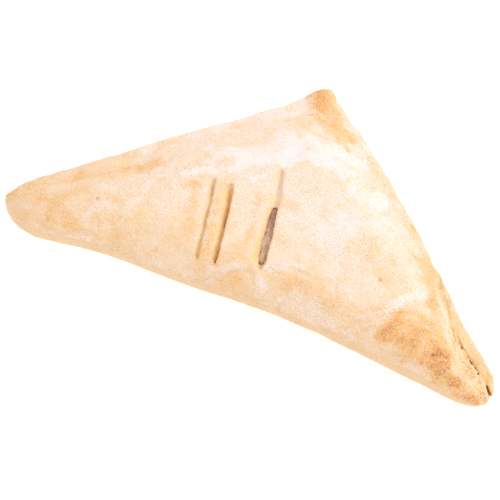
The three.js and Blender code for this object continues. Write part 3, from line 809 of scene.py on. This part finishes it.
def dress(mesh, g):
    """Marks on the crust for its material: browning, flour, cut faces, painted shade on rims turned away
    from the key lamp, layers, and depth in a slit or the gap, which the material paints as shade."""
    base = BARE + 0.06 * lumps(g.points, 9, 71, 2) + BARE_AT_FOLD * smooth((10 - g.fold) / 7)
    browning = base.copy()
    streaks = 1 + 0.18 * g.wobble
    for knots, half, amount, soft in BROWNED:
        browning = np.maximum(browning, base + amount * streaks * g.band(knots, half, soft, 0.42))
    for x, y, radius, _ in PITS:
        browning += 0.22 * blob(g.xy, x, y, 1.2 * radius) * g.top
    rim = sum(blob(g.xy, x, y, radius) for x, y, radius in KNOB_RIM) * (g.z > 6)
    rim = np.minimum(rim, 1)
    browning += RIM_BROWN * rim + LOBE_BROWN * g.lobe
    browning = np.minimum(browning, BROWN_CAP) + 0.3 * smooth((-g.normals[:, 2] - 0.5) / 0.4)
    plateau = smooth((np.minimum(g.fold, 0.8 * (g.xy[:, 0] + 60)) - 6) / 16)
    flour = DUSTED + DUSTED_ON_TOP * plateau + 0.12 * lumps(g.points, 7, 81, 2)
    for knots, half, amount, soft in FLOURED:
        flour = np.maximum(flour, amount * (1 + 0.2 * g.wobble) * g.band(knots, half, soft))
    flour = np.maximum(flour - 0.8 * np.maximum(browning - 0.24, 0), LEAST_DUST)
    flour *= 0.25 + 0.75 * g.top
    cut = np.clip(g.side * smooth((g.z - 0.6) / 0.8) + g.band_at_tip + 0.3 * g.lobe, 0, 1)
    flour *= 1 - 0.75 * cut
    cut *= 1 - 0.8 * rim
    deep = sunk(g) / DARKEST
    # painted shade: sloping rims that face away from the key lamp, on the fold and the left leg, are
    # darkened; near the right leg, which faces the lamp, and on cut faces they are not
    turned = smooth((0.62 - g.normals[:, 2]) / 0.55) * (g.normals[:, 2] > -0.5)
    painted_shade = PAINTED_SHADE_STRENGTH * turned * smooth((g.right - 5) / 5) * (1 - cut) * (1 - rim)
    painted_shade *= 1 - smooth(deep / 0.3)
    # painted shade in the gap at the right tip: its deep walls get the dark end of the slit shade colours
    crack = smooth((1.1 - g.gap) / 0.6) * smooth((0.75 - g.normals[:, 2]) / 0.3) * (g.z < 6)
    crack *= smooth((g.up_gap - 0.2) / 0.15)
    leaf = 0.5 + 0.5 * layer_lines(g)
    for name, values in zip(MARKS, (browning, flour, cut, painted_shade, leaf, np.maximum(deep, 1.3 * crack))):
        mark(mesh, name, values)


# Fineness of the meshes made from the CAD solids
CRUST_VOXEL, QUICK_VOXEL, FRUIT_VOXEL = 0.36, 0.5, 0.5
CRUST_FACES = 195000  # the crust is thinned out to this, mostly where it is hidden
CLEARANCE = 0.02  # how far the underside stays above the table


def make_crust():
    crust = fine_copy("pastry", "crust", CRUST_VOXEL)
    mesh = crust.data
    pairs = read(mesh.edges, "vertices", 2, np.int32)
    g = Ground(coordinates(mesh), outward(mesh))
    kept = smooth((5 - g.gap) / 3)
    for share, (across, inside, along) in zip(SLIT_SHADE, slit_space(g.xy)):
        beside = smooth((4 - np.abs(across)) / 2)
        kept = np.maximum(kept, beside * inside * np.interp(along, *share))
    kept = np.maximum(kept, 0.8 * smooth((7 - np.minimum(g.right, g.left)) / 3))
    points = relaxed(g.points, pairs, 10, 0.55 * (1 - 0.9 * kept))
    write_back(mesh, points)
    normals = relaxed(outward(mesh), pairs, 4)
    normals /= np.linalg.norm(normals, axis=1)[:, None] + 1e-9
    g = Ground(points, normals)
    points = knead(g)
    points[:, 2] = np.maximum(points[:, 2], CLEARANCE + 0.05 * smooth(lumps(points, 6, 91)))
    write_back(mesh, points)
    work = bmesh.new()
    work.from_mesh(mesh)
    bmesh.ops.triangulate(work, faces=work.faces)
    work.to_mesh(mesh)
    work.free()
    shown = (normals[:, 2] > -0.35) & (points[:, 2] > 1.5) & ~g.inside
    group = crust.vertex_groups.new(name="shown")
    group.add(np.nonzero(shown)[0].tolist(), 0.5, "REPLACE")
    group.add(np.nonzero(~shown)[0].tolist(), 0.0, "REPLACE")
    thin = crust.modifiers.new("thin", "DECIMATE")
    thin.vertex_group = "shown"
    thin.invert_vertex_group = True
    thin.ratio = min(1, CRUST_FACES / len(mesh.polygons))
    finished = plain_mesh(crust, "crust_fine")
    discard(crust)
    finished.name = finished.data.name = "crust"
    mesh = finished.data
    points = coordinates(mesh)
    points[:, 2] = np.maximum(points[:, 2], CLEARANCE)
    write_back(mesh, points)
    dress(mesh, Ground(coordinates(mesh), outward(mesh)))
    wear(mesh, baked_crust())
    return finished


# ---------------------------------------------------------------- the filling

OPENING_TOP = (2.1, -11.6, 3)  # x, y and radius of the rear end of the open slit, where the fruit swells
SWELL = 0.9


def make_filling():
    filling = fine_copy("filling", "fruit", FRUIT_VOXEL)
    mesh = filling.data
    points, normals = coordinates(mesh), outward(mesh)
    lift = 0.15 + 0.7 * lumps(points, 4, 101, 2) + 0.5 * lumps(points, 1.5, 103, 2)
    points += normals * np.clip(lift, -1.2, 1.0)[:, None]
    points[:, 2] += SWELL * blob(points, *OPENING_TOP)
    write_back(mesh, points)
    along = slit_space(points[:, :2])[2][2]
    mark(mesh, "sugar", smooth((along - 0.45) / 0.25))
    wear(mesh, cooked_fruit())
    return filling


# ---------------------------------------------------------------- thin leaves on the cut sides

LEAF_LEVELS = (0.9, 1.7, 2.5, 3.3, 4.1, 5.5, 6.3, 7.1, 7.9, 8.7, 9.4)  # heights above the table
LEAF_STEP = 0.9  # between one point of a leaf and the next
LEAF_ROOT = 0.5  # how deep a leaf is rooted in the wall
LEAF_REACH, LEAF_THICK = (0.15, 0.34), (0.16, 0.26)
LOBE_RUN = 58  # length of the smooth lower lip at the right tip
SHRED_STEP = 0.6
SHRED_REACH = (0.5, 1.3)
SHRED_DROPS = (0.1, 0.5, 1.0, 1.5)  # how far the torn shreds in the gap lie below its upper lip


def leaf_stations(wall, line, level, first, last):
    """Where a leaf leaves the wall: points on it and the direction outwards, along a cut leg."""
    spots, outs = [], []
    for n in range(first, last):
        run = line[n + 1] - line[n - 1]
        out = Vector((run[1], -run[0], 0)).normalized()
        start = Vector((*line[n], level)) + out * 8
        hit, normal, _, _ = wall.ray_cast(start * MM, -out, 20 * MM)
        if hit is None or normal.z > 0.5:
            break
        spot = hit / MM
        if spots and (spot - spots[-1]).length > 1.6 * LEAF_STEP:
            break
        spots.append(spot)
        outs.append(out)
    return spots, outs


def add_leaf(work, rim, spots, outs, rng, span):
    """A closed thin ribbon along the wall, ragged at its outer rim and tapered at its ends."""
    count = len(spots)
    reach, thick = rng.uniform(*span), rng.uniform(*LEAF_THICK)
    curl, sway = rng.uniform(-0.12, 0.22), rng.uniform(0, FULL_TURN)
    rings = []
    for n, (spot, out) in enumerate(zip(spots, outs)):
        taper = min(1, 2.5 * math.sin(math.pi * (n + 0.3) / (count - 0.4)))
        far = reach * taper * rng.uniform(0.8, 1.1)
        level = spot + Vector((0, 0, 0.12 * math.sin(n / 4 + sway)))
        up = Vector((0, 0, thick / 2))
        root = level - out * LEAF_ROOT
        middle = level + out * far * 0.6 + Vector((0, 0, curl * 0.4))
        tip = level + out * far + Vector((0, 0, curl * taper))
        corners = [(root + up, 0), (middle + up, 0.6), (tip, 1), (middle - up, 0.6), (root - up, 0)]
        rings.append([work.verts.new(place * MM) for place, _ in corners])
        for vertex, (_, share) in zip(rings[-1], corners):
            vertex[rim] = share
    for one, two in zip(rings, rings[1:]):
        for k in range(len(one)):
            j = (k + 1) % len(one)
            work.faces.new((one[k], one[j], two[j], two[k]))
    work.faces.new(rings[0][::-1])
    work.faces.new(rings[-1])


def add_shreds(work, rim, wall, rng):
    """Short torn shreds that reach from the upper sheet across the gap at the right tip."""
    line = path_points(GAP, SHRED_STEP)
    for drop in SHRED_DROPS:
        first = 2
        while first < len(line) - 5:
            last = min(len(line) - 2, first + int(rng.integers(4, 9)))
            spots, outs = [], []
            for n in range(first, last):
                run = line[n + 1] - line[n - 1]
                out = Vector((-run[1], run[0], 0)).normalized()
                start = Vector((*line[n], 30)) - out * 0.9
                hit = wall.ray_cast(start * MM, Vector((0, 0, -1)), 40 * MM)[0]
                if hit is not None and hit.z / MM > drop + 1:
                    spots.append(hit / MM - Vector((0, 0, drop)))
                    outs.append(out)
            if len(spots) > 3:
                add_leaf(work, rim, spots, outs, rng, SHRED_REACH)
            first = last + int(rng.integers(0, 4))


def make_leaves(crust):
    """Thin leaves of dough that stand out from both cut legs, layer over layer, and torn shreds."""
    wall = BVHTree.FromObject(crust, bpy.context.evaluated_depsgraph_get())
    rng = np.random.default_rng(17)
    work = bmesh.new()
    rim = work.verts.layers.float.new("rim")
    for leg in (RIGHT_LEG, LEFT_LEG):
        line = path_points(leg, LEAF_STEP)
        for level in LEAF_LEVELS:
            first = 2 + int(rng.integers(0, 8))
            if leg is RIGHT_LEG and level < SEAM + 1.5:
                first += int(LOBE_RUN / LEAF_STEP)
            while first < len(line) - 6:
                last = min(len(line) - 2, first + int(rng.integers(7, 34)))
                spots, outs = leaf_stations(wall, line, level, first, last)
                if len(spots) > 4:
                    add_leaf(work, rim, spots, outs, rng, LEAF_REACH)
                first = last + int(rng.integers(1, 10))
    add_shreds(work, rim, wall, rng)
    bmesh.ops.recalc_face_normals(work, faces=work.faces)
    mesh = bpy.data.meshes.new("flaky_leaves")
    work.to_mesh(mesh)
    work.free()
    wear(mesh, flaky_leaf())
    return placed("flaky_leaves", mesh)


# ---------------------------------------------------------------- grains of flour, and crumbs

DENSITY, SMALLEST, LARGEST = "Grains per square metre", "Smallest", "Largest"
POWDER_GRAINS = {DENSITY: 4.6e6, SMALLEST: 0.2 * MM, LARGEST: 0.46 * MM}
CRUMB_GRAINS = {DENSITY: 1.6e6, SMALLEST: 0.16 * MM, LARGEST: 0.38 * MM}
GRAIN_SHAPE = (0.6, 0.6, 0.5), (1.3, 1.2, 0.9)  # least and most stretch of a grain


def tree_for(name, sizes):
    """A new shape tree with a mesh going in and out, and one named number for each size."""
    tree = bpy.data.node_groups.new(name, "GeometryNodeTree")
    tree.interface.new_socket("Geometry", in_out="INPUT", socket_type="NodeSocketGeometry")
    tree.interface.new_socket("Geometry", in_out="OUTPUT", socket_type="NodeSocketGeometry")
    for label in sizes:
        tree.interface.new_socket(label, in_out="INPUT", socket_type="NodeSocketFloat")
    return tree, tree.nodes.new("NodeGroupInput"), tree.nodes.new("NodeGroupOutput")


def draw(tree, seed, span=None):
    """A node that draws for each grain a vector within the span, or without one a number."""
    made = tree.nodes.new("FunctionNodeRandomValue")
    made.data_type = "FLOAT_VECTOR" if span else "FLOAT"
    made.inputs["Seed"].default_value = seed
    if span:
        made.inputs[0].default_value, made.inputs[1].default_value = span
    return made


def sprinkle(crust, name, material, amount, seed, sizes):
    """Grains spread over the crust where the marked amount is high, as one mesh of its own."""
    tree, given, result = tree_for(name, sizes)
    new, join = tree.nodes.new, tree.links.new
    grain = new("GeometryNodeMeshUVSphere")
    for label, value in (("Segments", 4), ("Rings", 2), ("Radius", 0.5)):
        grain.inputs[label].default_value = value
    where = new("GeometryNodeInputNamedAttribute")
    where.data_type = "FLOAT"
    where.inputs["Name"].default_value = amount
    thick = new("ShaderNodeMath")
    thick.operation = "MULTIPLY"
    join(where.outputs["Attribute"], thick.inputs[0])
    join(given.outputs[DENSITY], thick.inputs[1])
    points = new("GeometryNodeDistributePointsOnFaces")
    points.inputs["Seed"].default_value = seed
    join(given.outputs["Geometry"], points.inputs["Mesh"])
    join(thick.outputs[0], points.inputs["Density"])
    turn = draw(tree, seed + 1, ((0, 0, 0), (FULL_TURN, FULL_TURN, FULL_TURN)))
    size = draw(tree, seed + 2)
    join(given.outputs[SMALLEST], size.inputs[2])
    join(given.outputs[LARGEST], size.inputs[3])
    stretch = draw(tree, seed + 3, GRAIN_SHAPE)
    shape = new("ShaderNodeVectorMath")
    shape.operation = "SCALE"
    join(stretch.outputs[0], shape.inputs[0])
    join(size.outputs[1], shape.inputs["Scale"])
    spread = new("GeometryNodeInstanceOnPoints")
    join(points.outputs["Points"], spread.inputs["Points"])
    join(grain.outputs["Mesh"], spread.inputs["Instance"])
    join(turn.outputs[0], spread.inputs["Rotation"])
    join(shape.outputs[0], spread.inputs["Scale"])
    real = new("GeometryNodeRealizeInstances")
    join(spread.outputs[0], real.inputs[0])
    dressed = new("GeometryNodeSetMaterial")
    dressed.inputs["Material"].default_value = material
    join(real.outputs[0], dressed.inputs[0])
    join(dressed.outputs[0], result.inputs[0])
    base = placed("base", crust.data)
    modifier = base.modifiers.new("sprinkle", "NODES")
    modifier.node_group = tree
    for socket in tree.interface.items_tree:
        if socket.in_out == "INPUT" and socket.name in sizes:
            modifier[socket.identifier] = float(sizes[socket.name])
    made = plain_mesh(base, name)
    bpy.data.objects.remove(base)
    made.data.name = name
    for layer in [a.name for a in made.data.attributes if a.name in MARKS]:
        made.data.attributes.remove(made.data.attributes[layer])
    return made


def powder_grain():
    r = Recipe("flour_grain")
    tone = r.shades(r.noise(3, 2), [(0.35, linear(254, 238, 222)), (0.65, linear(254, 247, 243))])
    r.set(Base_Color=tone, Roughness=0.8, Specular_IOR_Level=0.3)
    r.set(Subsurface_Weight=0.1, Subsurface_Scale=0.0004)
    return r.material


def crumb_grain():
    r = Recipe("toasted_crumb")
    tone = r.shades(r.noise(2.5, 2), [(0.3, linear(252, 212, 154)), (0.7, linear(244, 190, 124))])
    r.set(Base_Color=tone, Roughness=0.7, Specular_IOR_Level=0.3)
    return r.material


def make_grains(crust):
    mesh = crust.data
    g = Ground(coordinates(mesh), outward(mesh))
    seen = smooth((g.normals[:, 2] + 0.05) / 0.4) * (g.z > 1.5) * ~g.inside
    seen *= smooth(1 - 4 * sunk(g))
    dust = read(mesh.attributes["flour"].data, "value", 1)[:, 0]
    patchy = smooth(0.5 + lumps(g.points, 4, 121, 2))
    mark(mesh, "powder", seen * (0.2 + 0.8 * dust) * (0.5 + 0.5 * patchy))
    mark(mesh, "crumbs", seen * (0.4 + 0.6 * patchy) * (1 - 0.9 * smooth(dust * 1.6)))
    powder = sprinkle(crust, "flour_grains", powder_grain(), "powder", 3, POWDER_GRAINS)
    crumbs = sprinkle(crust, "toasted_crumbs", crumb_grain(), "crumbs", 13, CRUMB_GRAINS)
    for layer in ("powder", "crumbs"):
        for piece in (crust, powder, crumbs):
            if layer in piece.data.attributes:
                piece.data.attributes.remove(piece.data.attributes[layer])
    return powder, crumbs


add_camera()
add_studio()
crust = make_crust()
fruit = make_filling()
leaves = make_leaves(crust)
powder, crumbs = make_grains(crust)
for piece, node, slot in ((crust, "pastry", "crust"), (fruit, "filling", "fruit_filling")):
    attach(piece, "root")
    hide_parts(node)
for piece in (leaves, powder, crumbs):
    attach(piece, "root")
